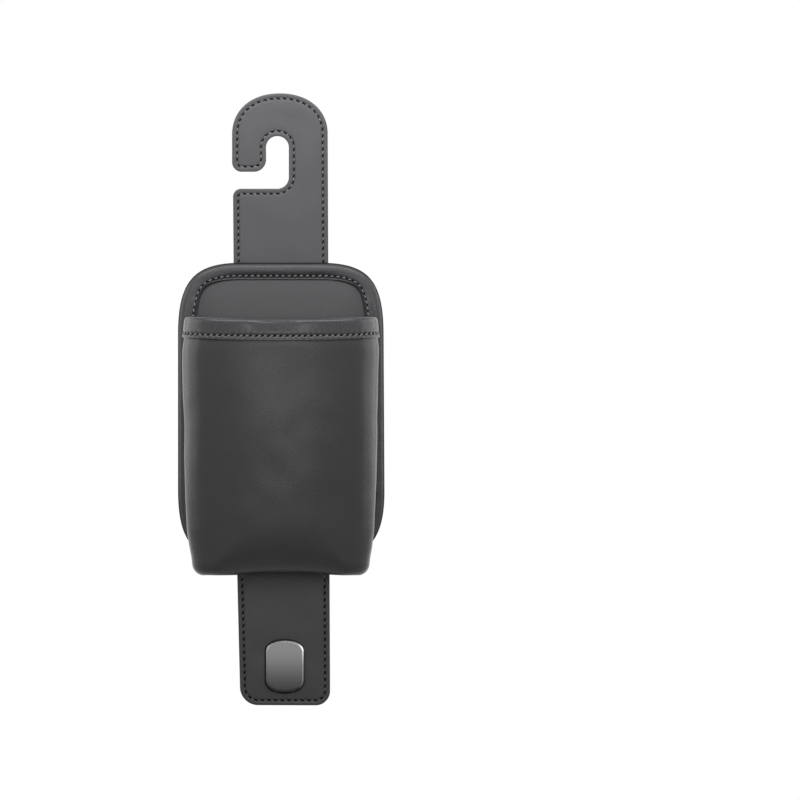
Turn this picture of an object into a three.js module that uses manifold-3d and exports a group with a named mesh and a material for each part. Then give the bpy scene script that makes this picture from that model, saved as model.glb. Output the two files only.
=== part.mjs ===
// Car seat back organizer.
// A stiffened leather strap hooks round a headrest post. It carries a padded panel with a sewn pocket and, at its
// lower end, a metal hook for bags. Units are millimetres, +Z is up and -Y faces the passenger. The origin is on
// the strap's back face, at the middle of the panel.

import * as THREE from "three";
import { mergeVertices, toCreasedNormals } from "three/addons/utils/BufferGeometryUtils.js";
import Module from "manifold-3d";

const wasm = await Module();
wasm.setup();

// Sheet and board thicknesses
const leather = 1.25;
const strapBoard = 2;
const backCover = 1;
const panelBoard = 2;
const panelFoam = 3;
const pocketWall = 2.5;
const pocketFlange = 1;
const hookMetal = 1.5;

// Room left round a piece that another one encloses or is sewn against, and beside the pocket's root
const seatGap = 0.3;
const rootClearance = 1.5;

// Strap: overall height, widths and the run of its tapered body
const strapTop = 206.9;
const strapBottom = -190.3;
const hookCentreX = -0.8;
const hookHalfWidth = 31;
const domeRise = 26.6;
const domeFullness = 0.6;
const bodyTopCentreX = -0.4;
const bodyTopHalfWidth = 30.7;
const bodyEndCentreX = 2.6;
const bodyEndHalfWidth = 29.2;
const bodyEndRadius = 12;

// Strap: slot for the headrest post, its side entry and the corners round it
const slotCentreX = -2.3;
const slotRadius = 7.5;
const slotArcZ = 172.1;
const slotFloorZ = 144.4;
const slotFloorRadius = 8;
const entryHeight = 12.1;
const tipOuterRadius = 6.2;
const tipInnerRadius = 8.3;
const neckRadius = 5.2;

// Strap: the board stays inside the edge stitching and lifts the front skin over it
const strapBoardInset = 4;
const shoulderFoot = 3.3;
const shoulderTop = 4.7;
const edgeBreak = 0.3;

// Panel outline
const panelHalfWidth = 66.7;
const panelHalfHeight = 97;
const panelCornerWidth = 42;
const panelCornerHeight = 46;
const panelCornerFullness = 0.75;

// Panel border: a leather strip sewn down by its inner lip and rolled over foam round the edge to the back
const lipInset = 10.95;
const stitchInset = 7.9;
const rollHeight = 2.9;
const rollCrestInset = 3.5;
const backLegInset = 13;
const backCoverInset = 4;
const faceInset = 7;
const flangeInset = 7.5;

// Pocket: outer sizes at the mouth and at the base
const mouthBackZ = 60;
const mouthDrop = 1.4;
const pocketBaseZ = -104.6;
const baseArch = 2;
const mouthHalfWidth = 62.6;
const baseHalfWidth = 57.2;
const taperCurve = 2.5;
const mouthReach = 56;
const baseReach = 51;
const widestReach = 22;
const mouthCorner = 18;
const baseCorner = 11;
const frontCrown = 4.5;
const mouthDrawIn = 1.3;
const drawInDepth = 20;
const baseEdgeRadius = 6.5;
const baseMiddleRadius = 20;

// Hem: a leather strip folded over the mouth, with a stiffening strip inside its inner leg
const hemDrop = 11.1;
const hemInnerDrop = 9.8;
const hemStitchDrop = 8.3;
const hemDeepening = 0.14;
const hemLipFlare = 0.7;
const stiffener = 1;
const stiffenerHeight = 6.5;

// Bag hook: a cast plate, barrel shaped from the front and J shaped from the side
const bagHookZ = -165.3;
const bagHookHalfWidth = 12.2;
const bagHookHalfHeight = 16.75;
const bagHookCap = 7.4;
const bagHookFullness = 0.6;
const bagHookGap = 7;
const bagHookBulge = 0.8;
const bagHookEdge = 0.8;
const cutoutGap = 0.6;
const rivetSpacing = 12;
const rivetOffset = 2;
const rivetShank = 1.6;
const rivetHead = 3;
const rivetHeadHeight = 0.8;
const rivetClearance = 0.2;
const rivetPocket = 1;

// Depths, all worked out from the thicknesses. The front is -Y.
const strapBoardBack = -leather;
const strapBoardFront = strapBoardBack - strapBoard;
const strapMarginFront = strapBoardBack - leather;
const strapFront = strapBoardFront - leather;
const backCoverFront = strapFront - backCover;
const panelBoardBack = backCoverFront - leather;
const panelBoardFront = panelBoardBack - panelBoard;
const foamFront = panelBoardFront - panelFoam;
const faceFront = foamFront - leather;
const rollFront = faceFront - rollHeight;

const blackLeather = { color: 0x4b4b4d, roughness: 0.55, metalness: 0 };
const lining = { color: 0x353537, roughness: 0.9, metalness: 0 };
const board = { color: 0x8c8c88, roughness: 0.6, metalness: 0 };
const foamStuff = { color: 0x5c5c5c, roughness: 0.95, metalness: 0 };
const castMetal = { color: 0x8a8a88, roughness: 0.35, metalness: 0.9 };

const lerp = THREE.MathUtils.lerp;
const smooth = THREE.MathUtils.smoothstep;

// Puts an extruded outline, drawn across X and up Z, upright with its extrusion towards the front.
const upright = new THREE.Matrix4().set(1, 0, 0, 0, 0, 0, -1, 0, 0, 1, 0, 0, 0, 0, 0, 1);

// Puts a side profile, drawn forward and up, upright with its extrusion along X.
const sideways = new THREE.Matrix4().set(0, 0, -1, 0, -1, 0, 0, 0, 0, 1, 0, 0, 0, 0, 0, 1);

// Triangles that fill a flat loop, wound the way that the loop runs.
function fillLoop(loop) {
  const faces = THREE.ShapeUtils.triangulateShape(loop, []);
  return THREE.ShapeUtils.area(loop) > 0 ? faces : faces.map(([a, b, c]) => [a, c, b]);
}

// Collects points and faces, and turns them into a closed geometry.
class Skin {
  points = [];
  faces = [];

  row(points) {
    const start = this.points.length;
    this.points.push(...points);
    return points.map((_, i) => start + i);
  }

  quad(a, b, c, d) {
    this.faces.push(a, b, c, a, c, d);
  }

  // Quads between two rows. The second row lies above the first when the first runs to the right, seen from outside.
  strip(lower, upper, closed = false) {
    const count = closed ? lower.length : lower.length - 1;
    for (let i = 0; i < count; i += 1) {
      const next = (i + 1) % lower.length;
      this.quad(lower[i], lower[next], upper[next], upper[i]);
    }
  }

  cap(row, loop, flip = false) {
    for (const [a, b, c] of fillLoop(loop)) {
      this.faces.push(row[a], row[flip ? c : b], row[flip ? b : c]);
    }
  }

  geometry() {
    const flat = this.points.flatMap((p) => [p.x, p.y, p.z]);
    const made = new THREE.BufferGeometry();
    made.setAttribute("position", new THREE.Float32BufferAttribute(flat, 3));
    made.setIndex(this.faces);
    return made;
  }
}

// The corners of an outline: each arc gets steps by its angle, and each free curve a set number.
function cornersOf(outline) {
  const stepsPerQuarter = 5;
  const stepsPerCurve = 9;
  return outline.curves.flatMap((curve) => {
    const turn = Math.abs(curve.aEndAngle - curve.aStartAngle) / (Math.PI / 2);
    const arcSteps = Math.round(turn * stepsPerQuarter);
    const steps = curve.isLineCurve ? 1 : curve.isEllipseCurve ? arcSteps : stepsPerCurve;
    return curve.getPoints(steps).slice(0, -1);
  });
}

// A plate whose edge follows a profile from its back cap to its front cap. Each step is [inset, y].
function profiledPlate(outlineAt, steps) {
  const skin = new Skin();
  const loops = steps.map(([inset]) => cornersOf(outlineAt(inset)));
  const rows = loops.map((loop, k) => skin.row(loop.map((p) => new THREE.Vector3(p.x, steps[k][1], p.y))));
  skin.cap(rows[0], loops[0], true);
  rows.slice(1).forEach((row, k) => skin.strip(rows[k], row, true));
  skin.cap(rows.at(-1), loops.at(-1));
  return skin.geometry();
}

// A ring whose closed profile runs round an outline. Each step is [inset, y, share of the lift].
function profiledRing(outlineAt, steps, liftAt) {
  const skin = new Skin();
  const rows = steps.map(([inset, y, share = 0]) => {
    const loop = cornersOf(outlineAt(inset));
    return skin.row(loop.map((p) => new THREE.Vector3(p.x, y - share * liftAt(p.y), p.y)));
  });
  rows.forEach((row, k) => skin.strip(row, rows[(k + 1) % rows.length], true));
  return skin.geometry();
}

function solid(geometry) {
  const bare = geometry.clone();
  bare.deleteAttribute("normal");
  bare.deleteAttribute("uv");
  const merged = mergeVertices(bare, 1e-4);
  return new wasm.Manifold(
    new wasm.Mesh({
      numProp: 3,
      vertProperties: new Float32Array(merged.attributes.position.array),
      triVerts: new Uint32Array(merged.index.array),
    }),
  );
}

function geometryOf(manifold) {
  const { vertProperties, triVerts } = manifold.getMesh();
  const made = new THREE.BufferGeometry();
  made.setAttribute("position", new THREE.BufferAttribute(vertProperties, 3));
  made.setIndex(new THREE.BufferAttribute(triVerts, 1));
  return made;
}

function part(name, geometry, look) {
  const creaseAngle = THREE.MathUtils.degToRad(35);
  const mesh = new THREE.Mesh(toCreasedNormals(geometry, creaseAngle), new THREE.MeshStandardMaterial(look));
  mesh.name = name;
  return mesh;
}

// Strap

function bodyShare(z) {
  return (slotFloorZ - z) / (slotFloorZ - strapBottom);
}

function bodyCentreX(z) {
  return lerp(bodyTopCentreX, bodyEndCentreX, bodyShare(z));
}

function bodyHalfWidth(z) {
  return lerp(bodyTopHalfWidth, bodyEndHalfWidth, bodyShare(z));
}

// The strap's outline, drawn inwards by an inset. Convex corners tighten and concave ones open with it.
function strapOutline(inset) {
  const quarter = Math.PI / 2;
  const left = hookCentreX - hookHalfWidth + inset;
  const right = hookCentreX + hookHalfWidth - inset;
  const top = strapTop - inset;
  const domeFoot = strapTop - domeRise;
  const pullX = domeFullness * (hookHalfWidth - inset);
  const pullZ = domeFullness * (domeRise - inset);
  const tipZ = slotFloorZ + entryHeight;
  const slotLeft = slotCentreX - slotRadius;
  const slotRight = slotCentreX + slotRadius;
  const endZ = strapBottom + bodyEndRadius;
  const endLeft = bodyCentreX(endZ) - bodyHalfWidth(endZ) + bodyEndRadius;
  const endRight = bodyCentreX(endZ) + bodyHalfWidth(endZ) - bodyEndRadius;
  const neckX = bodyTopCentreX - bodyTopHalfWidth + neckRadius;
  const tipLeft = left - inset + tipOuterRadius;
  const outline = new THREE.Shape();
  outline.moveTo(endRight + bodyEndRadius - inset, endZ);
  outline.lineTo(right, domeFoot);
  outline.bezierCurveTo(right, domeFoot + pullZ, hookCentreX + pullX, top, hookCentreX, top);
  outline.bezierCurveTo(hookCentreX - pullX, top, left, domeFoot + pullZ, left, domeFoot);
  outline.absarc(tipLeft, tipZ + tipOuterRadius, tipOuterRadius - inset, 2 * quarter, 3 * quarter);
  outline.absarc(slotLeft - tipInnerRadius, tipZ + tipInnerRadius, tipInnerRadius - inset, 3 * quarter, 4 * quarter);
  outline.absarc(slotCentreX, slotArcZ, slotRadius + inset, 2 * quarter, 0, true);
  outline.absarc(slotRight - slotFloorRadius, slotFloorZ + slotFloorRadius, slotFloorRadius + inset, 0, -quarter, true);
  outline.absarc(neckX, slotFloorZ - neckRadius, neckRadius - inset, quarter, 2 * quarter);
  outline.absarc(endLeft, endZ, bodyEndRadius - inset, 2 * quarter, 3 * quarter);
  outline.absarc(endRight, endZ, bodyEndRadius - inset, 3 * quarter, 4 * quarter);
  return outline;
}

// The bag hook's barrel outline round its own middle, drawn inwards by an inset.
function barrelOutline(inset) {
  const x = bagHookHalfWidth - inset;
  const z = bagHookHalfHeight - inset;
  const foot = bagHookHalfHeight - bagHookCap;
  const pullX = bagHookFullness * x;
  const pullZ = bagHookFullness * (bagHookCap - inset);
  const outline = new THREE.Shape();
  outline.moveTo(x, -foot);
  outline.lineTo(x, foot);
  outline.bezierCurveTo(x, foot + pullZ, pullX, z, 0, z);
  outline.bezierCurveTo(-pullX, z, -x, foot + pullZ, -x, foot);
  outline.lineTo(-x, -foot);
  outline.bezierCurveTo(-x, -foot - pullZ, -pullX, -z, 0, -z);
  outline.bezierCurveTo(pullX, -z, x, -foot - pullZ, x, -foot);
  return outline;
}

const bagHookX = bodyCentreX(bagHookZ);
const rivetHeights = [rivetOffset + rivetSpacing / 2, rivetOffset - rivetSpacing / 2];

// A solid round bar along Y, from its back to its front.
function bar(radius, back, front, x, z) {
  const made = new THREE.CylinderGeometry(radius, radius, back - front, 20);
  made.translate(x, (back + front) / 2, z);
  return solid(made);
}

function strapBackSkin() {
  return profiledPlate(strapOutline, [[edgeBreak, 0], [0, -edgeBreak], [0, -leather]]);
}

function strapCore() {
  const plate = profiledPlate(strapOutline, [[strapBoardInset, strapBoardBack], [strapBoardInset, strapBoardFront]]);
  const cuts = rivetHeights.flatMap((height) => [
    bar(rivetShank + rivetClearance, 0, strapFront, bagHookX, bagHookZ + height),
    bar(rivetHead + rivetClearance, 0, strapBoardBack - rivetPocket, bagHookX, bagHookZ + height),
  ]);
  return geometryOf(cuts.reduce((made, cut) => made.subtract(cut), solid(plate)));
}

// The front skin lies on the back skin at its margin and steps up over the board. The bag hook looks out of it.
function strapFrontSkin() {
  const hollow = strapBoardInset - seatGap;
  const rise = strapFront - strapMarginFront;
  const plate = profiledPlate(strapOutline, [
    [hollow, strapBoardFront],
    [hollow, strapBoardBack],
    [0, strapBoardBack],
    [0, strapMarginFront + edgeBreak],
    [edgeBreak, strapMarginFront],
    [shoulderFoot - 0.8, strapMarginFront],
    [shoulderFoot, strapMarginFront + 0.12 * rise],
    [lerp(shoulderFoot, shoulderTop, 0.5), strapMarginFront + 0.72 * rise],
    [shoulderTop, strapFront],
  ]);
  const window = new THREE.ExtrudeGeometry(barrelOutline(-cutoutGap), { depth: 10, bevelEnabled: false });
  window.applyMatrix4(upright).translate(bagHookX, 0, bagHookZ);
  return geometryOf(solid(plate).subtract(solid(window)));
}

// Bag hook, in its own frame: its middle is at X 0 and Z 0, and its depths are the strap's

function bagHook() {
  const back = -strapBoardFront;
  const bend = bagHookGap / 2;
  const middle = back + hookMetal + bend;
  const front = middle + bend + hookMetal;
  const top = bagHookHalfHeight;
  const bendZ = -top + bend + hookMetal;
  const profile = new THREE.Shape();
  profile.moveTo(back, top);
  profile.lineTo(back, bendZ);
  profile.absarc(middle, bendZ, bend + hookMetal, Math.PI, 2 * Math.PI);
  profile.quadraticCurveTo(front + 2 * bagHookBulge, (top + bendZ) / 2, front, top);
  profile.lineTo(front - hookMetal, top);
  profile.quadraticCurveTo(front - hookMetal + 2 * bagHookBulge, (top + bendZ) / 2, front - hookMetal, bendZ);
  profile.absarc(middle, bendZ, bend, 2 * Math.PI, Math.PI, true);
  profile.lineTo(back + hookMetal, top);
  const width = 2 * bagHookHalfWidth;
  const bent = new THREE.ExtrudeGeometry(profile, { depth: width, bevelEnabled: false, curveSegments: 8 });
  bent.translate(0, 0, -width / 2).applyMatrix4(sideways);
  const outer = front + bagHookBulge;
  const barrel = profiledPlate(barrelOutline, [
    [0, strapBoardFront + 1],
    [0, -outer + 1.6 * bagHookEdge],
    [0.35 * bagHookEdge, -outer + 0.7 * bagHookEdge],
    [1.3 * bagHookEdge, -outer],
  ]);
  const cuts = rivetHeights.map((height) => bar(rivetShank + rivetClearance, 0, -back - hookMetal - 1, 0, height));
  return geometryOf(cuts.reduce((made, cut) => made.subtract(cut), solid(bent).intersect(solid(barrel))));
}

// A rivet from its tail in the board's pocket to its head on the hook's base.
function rivet() {
  const tail = strapBoardBack - rivetPocket;
  const seat = strapBoardFront - hookMetal;
  const profile = [
    [0, seat - rivetHeadHeight],
    [0.7 * rivetHead, seat - rivetHeadHeight],
    [rivetHead, seat - 0.4 * rivetHeadHeight],
    [rivetHead, seat],
    [rivetShank, seat],
    [rivetShank, tail],
    [0.9 * rivetHead, tail],
    [0.9 * rivetHead, tail + rivetHeadHeight],
    [0, tail + rivetHeadHeight],
  ];
  return new THREE.LatheGeometry(profile.map(([r, y]) => new THREE.Vector2(r, y)), 20);
}

// Panel

function panelOutline(inset) {
  const x = panelHalfWidth - inset;
  const z = panelHalfHeight - inset;
  const footX = panelHalfWidth - panelCornerWidth;
  const footZ = panelHalfHeight - panelCornerHeight;
  const bendX = footX + panelCornerFullness * (x - footX);
  const bendZ = footZ + panelCornerFullness * (z - footZ);
  const outline = new THREE.Shape();
  outline.moveTo(x, -footZ);
  outline.lineTo(x, footZ);
  outline.bezierCurveTo(x, bendZ, bendX, z, footX, z);
  outline.lineTo(-footX, z);
  outline.bezierCurveTo(-bendX, z, -x, bendZ, -x, footZ);
  outline.lineTo(-x, -footZ);
  outline.bezierCurveTo(-x, -bendZ, -bendX, -z, -footX, -z);
  outline.lineTo(footX, -z);
  outline.bezierCurveTo(bendX, -z, x, -bendZ, x, -footZ);
  return outline;
}

// The border's lip lies on the panel's face above the pocket, and on the pocket's flange beside and below it.
function borderLift(z) {
  const clear = mouthBackZ + 8;
  return pocketFlange * (1 - smooth(z, clear, clear + 10));
}

function panelBorder() {
  const inside = leather + 0.6;
  return profiledRing(
    panelOutline,
    [
      [backLegInset, backCoverFront],
      [2.2, backCoverFront],
      [0.6, backCoverFront - 1.1],
      [0, backCoverFront - 3.1],
      [0, rollFront + 4.5],
      [0.9, rollFront + 1.7],
      [0.7 * rollCrestInset, rollFront + 0.2],
      [rollCrestInset + 0.9, rollFront],
      [stitchInset - 1.5, rollFront + 1, 0.5],
      [stitchInset - 0.6, faceFront - 0.9, 0.9],
      [stitchInset, faceFront - 0.55, 1],
      [stitchInset + 0.8, faceFront - 1.1, 1],
      [stitchInset + 1.5, faceFront - leather, 1],
      [lipInset - edgeBreak, faceFront - leather, 1],
      [lipInset, faceFront - leather + edgeBreak, 1],
      [lipInset, faceFront, 1],
      [flangeInset - seatGap, faceFront, 1],
      [stitchInset - 1.7, faceFront - 0.7, 0.5],
      [rollCrestInset + 0.9, rollFront + leather],
      [0.8 * rollCrestInset, rollFront + leather + 0.15],
      [inside, rollFront + 2.5],
      [leather, rollFront + 4.7],
      [leather, backCoverFront - 3.3],
      [leather + 0.45, backCoverFront - 1.7],
      [2.6, panelBoardBack],
      [backLegInset, panelBoardBack],
    ],
    borderLift,
  );
}

function panelBackCover() {
  return profiledPlate(panelOutline, [
    [backCoverInset + edgeBreak, strapFront],
    [backCoverInset, strapFront - edgeBreak],
    [backCoverInset, backCoverFront],
  ]);
}

function panelStiffener() {
  return profiledPlate(panelOutline, [[3, panelBoardBack], [3, panelBoardFront]]);
}

// The foam fills the border's roll and drops to a flat bed for the face skin.
function panelPad() {
  const edge = leather + seatGap + 0.05;
  const crest = rollFront + leather + seatGap + 0.05;
  return profiledPlate(panelOutline, [
    [edge, panelBoardFront],
    [edge, rollFront + 4.7],
    [edge + 0.6, rollFront + 2.8],
    [edge + 1.5, crest + 0.1],
    [rollCrestInset + 0.9, crest],
    [stitchInset - 1.9, crest + 0.9],
    [faceInset - 0.4, faceFront + 0.1],
    [faceInset - seatGap, foamFront],
  ]);
}

function panelFace() {
  return profiledPlate(panelOutline, [[faceInset, foamFront], [faceInset, faceFront]]);
}

// Pocket. Its plan is drawn forward from the panel's face, and lofted down from the mouth to the base

const columns = 48;
const wallRows = 8;
const edgeRows = 4;
const baseRows = 3;
const rootInset = lipInset + rootClearance;
const pocketRows = wallRows + edgeRows + baseRows;

// The line along which the pocket meets the panel, from one end of the mouth down, across and up to the other.
function rootPath(inset) {
  const x = panelHalfWidth - inset;
  const z = panelHalfHeight - inset;
  const footX = panelHalfWidth - panelCornerWidth;
  const footZ = panelHalfHeight - panelCornerHeight;
  const bendX = footX + panelCornerFullness * (x - footX);
  const bendZ = footZ + panelCornerFullness * (z - footZ);
  const mouthX = rootXAt(mouthBackZ, inset);
  const path = new THREE.Path();
  path.moveTo(-mouthX, mouthBackZ);
  path.lineTo(-x, footZ);
  path.lineTo(-x, -footZ);
  path.bezierCurveTo(-x, -bendZ, -bendX, -z, -footX, -z);
  path.lineTo(footX, -z);
  path.bezierCurveTo(bendX, -z, x, -bendZ, x, -footZ);
  path.lineTo(x, footZ);
  path.lineTo(mouthX, mouthBackZ);
  return path;
}

// Half the width of the panel's outline, drawn inwards by an inset, at a height.
function rootXAt(height, inset) {
  const corners = cornersOf(panelOutline(inset));
  const above = corners.findIndex((p) => p.x > 0 && p.y > height);
  const [low, high] = [corners[above - 1], corners[above]];
  return lerp(low.x, high.x, (height - low.y) / (high.y - low.y));
}

const rootShare = (() => {
  const path = rootPath(rootInset);
  const side = mouthBackZ + panelHalfHeight - panelCornerHeight;
  return (side + 0.5 * panelCornerHeight) / path.getLength();
})();

// Half width, reach and corner radius of the pocket's outer face at a height, grown by an offset.
function pocketSize(height, grow) {
  const share = THREE.MathUtils.clamp((mouthBackZ - height) / (mouthBackZ - pocketBaseZ), 0, 1) ** taperCurve;
  const drawIn = mouthDrawIn * smooth(height, mouthBackZ - drawInDepth, mouthBackZ);
  return {
    halfWidth: lerp(mouthHalfWidth, baseHalfWidth, share) - drawIn + grow,
    reach: lerp(mouthReach, baseReach, share) - drawIn + grow,
    corner: lerp(mouthCorner, baseCorner, share) + grow,
  };
}

// The pocket's plan at a height, from one root to the other: X across, Y forward from the panel's face.
function planPath(height, grow, rootX, rootY) {
  const { halfWidth, reach, corner } = pocketSize(height, grow);
  const flare = halfWidth - rootX;
  const cornerY = reach - frontCrown - corner;
  const frontX = halfWidth - corner;
  const slope = Math.atan2(frontCrown, frontX / 2);
  const pull = 0.6 * corner;
  const turnX = frontX + pull * Math.cos(slope);
  const turnY = reach - frontCrown - pull * Math.sin(slope);
  const path = new THREE.Path();
  path.moveTo(-rootX, rootY);
  path.bezierCurveTo(-rootX - 0.3 * flare, 0.35 * widestReach, -halfWidth, 0.55 * widestReach, -halfWidth, widestReach);
  path.lineTo(-halfWidth, cornerY);
  path.bezierCurveTo(-halfWidth, cornerY + pull, -turnX, turnY, -frontX, reach - frontCrown);
  path.quadraticCurveTo(-frontX / 2, reach, 0, reach);
  path.quadraticCurveTo(frontX / 2, reach, frontX, reach - frontCrown);
  path.bezierCurveTo(turnX, turnY, halfWidth, cornerY + pull, halfWidth, cornerY);
  path.lineTo(halfWidth, widestReach);
  path.bezierCurveTo(halfWidth, 0.55 * widestReach, rootX + 0.3 * flare, 0.35 * widestReach, rootX, rootY);
  return path;
}

function mouthZ(forward) {
  return mouthBackZ - (mouthDrop * forward) / mouthReach;
}

// One face of the pocket as rows of points: down the wall, round the base's edge and back to the panel.
function pocketGrid(grow, rootY) {
  const clamp = THREE.MathUtils.clamp;
  const root = rootPath(rootInset - grow);
  const floorZ = pocketBaseZ - grow;
  const rows = [];
  for (let j = 0; j <= pocketRows; j += 1) {
    const down = clamp(j / wallRows, 0, 1);
    const turn = (Math.PI / 2) * clamp((j - wallRows) / edgeRows, 0, 1);
    const back = clamp((j - wallRows - edgeRows) / baseRows, 0, 1);
    const end = root.getPoint((rootShare * j) / pocketRows);
    const height = lerp(mouthBackZ, floorZ + baseEdgeRadius, down);
    const plan = planPath(height, grow, -end.x, rootY).getSpacedPoints(columns);
    rows.push(plan.map((p, i) => {
      if (i === 0 || i === columns) return new THREE.Vector3(p.x, faceFront - rootY, end.y);
      const away = smooth(p.y, rootY, widestReach);
      const across = Math.min(Math.abs(p.x) / (baseHalfWidth - baseCorner), 1);
      const bow = away * (1 - across ** 2);
      const radius = lerp(baseEdgeRadius, baseMiddleRadius, bow) + grow;
      const wallZ = lerp(mouthZ(p.y), floorZ + baseArch * bow + radius, down);
      const along = new THREE.Vector2().subVectors(plan[i + 1], plan[i - 1]).normalize();
      const inward = radius * (1 - Math.cos(turn)) * away;
      const edge = new THREE.Vector3(
        p.x + along.y * inward,
        faceFront - (p.y - along.x * inward),
        lerp(end.y, wallZ - radius * Math.sin(turn), away),
      );
      const foot = root.getPoint(lerp(rootShare, 1 - rootShare, i / columns));
      return edge.lerp(new THREE.Vector3(foot.x, faceFront - rootY, foot.y), back);
    }));
  }
  return rows;
}

// The pocket's wall, with the flange that is trapped under the border's lip.
function pocketShell() {
  const skin = new Skin();
  const outer = pocketGrid(0, pocketFlange).map((row) => skin.row(row));
  const inner = pocketGrid(-pocketWall, 0).map((row) => skin.row(row));
  for (let j = 0; j < pocketRows; j += 1) {
    skin.strip(outer[j + 1], outer[j]);
    skin.strip(inner[j], inner[j + 1]);
  }
  skin.strip(outer[0], inner[0]);
  const rim = (grid) => [
    ...grid.map((row) => row[0]),
    ...grid.at(-1).slice(1),
    ...grid.slice(0, -1).reverse().map((row) => row.at(-1)),
  ];
  const flange = rootPath(flangeInset);
  const shares = rim(outer).map((_, k, all) => {
    const last = all.length - 1;
    if (k <= pocketRows) return (rootShare * k) / pocketRows;
    if (k >= last - pocketRows) return 1 - (rootShare * (last - k)) / pocketRows;
    return lerp(rootShare, 1 - rootShare, (k - pocketRows) / columns);
  });
  const edgeRow = (y) => skin.row(shares.map((share) => {
    const p = flange.getPoint(share);
    return new THREE.Vector3(p.x, y, p.y);
  }));
  const front = edgeRow(faceFront - pocketFlange);
  const back = edgeRow(faceFront);
  const outerRim = rim(outer);
  const innerRim = rim(inner);
  skin.strip(front, outerRim);
  skin.strip(back, front);
  skin.strip(innerRim, back);
  skin.quad(outerRim[0], innerRim[0], back[0], front[0]);
  skin.quad(outerRim.at(-1), front.at(-1), back.at(-1), innerRim.at(-1));
  return skin.geometry();
}

// A strip that follows the mouth. Each step is [outward offset from the pocket's wall, drop below the mouth].
function mouthStrip(steps, startY) {
  const skin = new Skin();
  const rows = steps.map(([grow, drop]) => {
    const rootX = rootXAt(mouthBackZ - drop, rootInset - grow);
    const fine = planPath(mouthBackZ - drop, grow, rootX, 0).getSpacedPoints(400);
    const kept = fine.filter((p) => p.y >= startY);
    const plan = Array.from({ length: columns + 1 }, (_, i) => kept[Math.round((i * (kept.length - 1)) / columns)]);
    const depthAt = (x) => drop * (1 + hemDeepening * (1 - (x / mouthHalfWidth) ** 2));
    return skin.row(plan.map((p) => new THREE.Vector3(p.x, faceFront - p.y, mouthZ(p.y) - depthAt(p.x))));
  });
  rows.forEach((row, k) => skin.strip(row, rows[(k + 1) % rows.length]));
  const loop = steps.map(([grow, drop]) => new THREE.Vector2(grow, -drop));
  skin.cap(rows.map((row) => row[0]), loop);
  skin.cap(rows.map((row) => row.at(-1)), loop, true);
  return skin.geometry();
}

const hemStart = pocketFlange + leather + seatGap + 0.1;
const hemOutside = seatGap + leather;
const hemInside = -pocketWall - seatGap;
const hemInnerFace = hemInside - stiffener - seatGap - leather;

function pocketHem() {
  return mouthStrip(
    [
      [seatGap, hemDrop],
      [hemOutside + hemLipFlare - 0.3, hemDrop],
      [hemOutside + hemLipFlare, hemDrop - 0.8],
      [hemOutside + 0.4 * hemLipFlare, hemStitchDrop + 1.2],
      [hemOutside - 0.5, hemStitchDrop],
      [hemOutside - 0.2, hemStitchDrop - 1.6],
      [hemOutside, 4],
      [hemOutside - 0.1, 1.2],
      [hemOutside - 0.9, -0.6],
      [-pocketWall / 2, -seatGap - leather],
      [hemInnerFace + 0.9, -0.6],
      [hemInnerFace, 1.4],
      [hemInnerFace, hemInnerDrop],
      [hemInside, hemInnerDrop],
      [hemInside, hemInnerDrop - 0.6],
      [hemInnerFace + leather, hemInnerDrop - 1.1],
      [hemInnerFace + leather, 1],
      [hemInnerFace + leather + 0.5, -seatGap],
      [seatGap, -seatGap],
    ],
    hemStart,
  );
}

function mouthStiffener() {
  const near = hemInside;
  const far = near - stiffener;
  return mouthStrip([[far, 1.2], [far, 1.2 + stiffenerHeight], [near, 1.2 + stiffenerHeight], [near, 1.2]], hemStart + 0.5);
}

const strap = new THREE.Group();
strap.add(
  part("strap_back_skin", strapBackSkin(), blackLeather),
  part("strap_core", strapCore(), board),
  part("strap_front_skin", strapFrontSkin(), blackLeather),
);

const hookGroup = new THREE.Group();
hookGroup.position.set(bagHookX, 0, bagHookZ);
hookGroup.add(part("bag_hook", bagHook(), castMetal));
["upper", "lower"].forEach((place, k) => {
  const made = part("hook_rivet_" + place, rivet(), castMetal);
  made.position.z = rivetHeights[k];
  hookGroup.add(made);
});

const panel = new THREE.Group();
panel.add(
  part("panel_back_cover", panelBackCover(), lining),
  part("panel_board", panelStiffener(), board),
  part("panel_foam", panelPad(), foamStuff),
  part("panel_face", panelFace(), blackLeather),
  part("panel_border", panelBorder(), blackLeather),
);

const pocket = new THREE.Group();
pocket.add(
  part("pocket_shell", pocketShell(), blackLeather),
  part("pocket_hem", pocketHem(), blackLeather),
  part("mouth_stiffener", mouthStiffener(), board),
);

const organizer = new THREE.Group();
organizer.add(strap, hookGroup, panel, pocket);

export default organizer;
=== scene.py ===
import math
import random

import bmesh
import bpy
import numpy as np
from mathutils import Matrix, Vector, noise
from mathutils.kdtree import KDTree


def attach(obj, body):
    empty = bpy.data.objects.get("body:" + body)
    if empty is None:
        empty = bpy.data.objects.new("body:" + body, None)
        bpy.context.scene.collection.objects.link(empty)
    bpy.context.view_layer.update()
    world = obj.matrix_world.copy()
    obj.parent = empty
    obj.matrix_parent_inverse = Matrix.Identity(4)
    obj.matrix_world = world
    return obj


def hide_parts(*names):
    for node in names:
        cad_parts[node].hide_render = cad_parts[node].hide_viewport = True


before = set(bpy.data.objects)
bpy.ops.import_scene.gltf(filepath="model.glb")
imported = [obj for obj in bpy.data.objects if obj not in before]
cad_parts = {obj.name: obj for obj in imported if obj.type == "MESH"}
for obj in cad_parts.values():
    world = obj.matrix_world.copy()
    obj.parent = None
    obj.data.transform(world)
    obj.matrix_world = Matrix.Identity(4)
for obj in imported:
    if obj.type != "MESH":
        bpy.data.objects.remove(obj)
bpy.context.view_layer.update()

mm = 0.001
scene = bpy.context.scene

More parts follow.
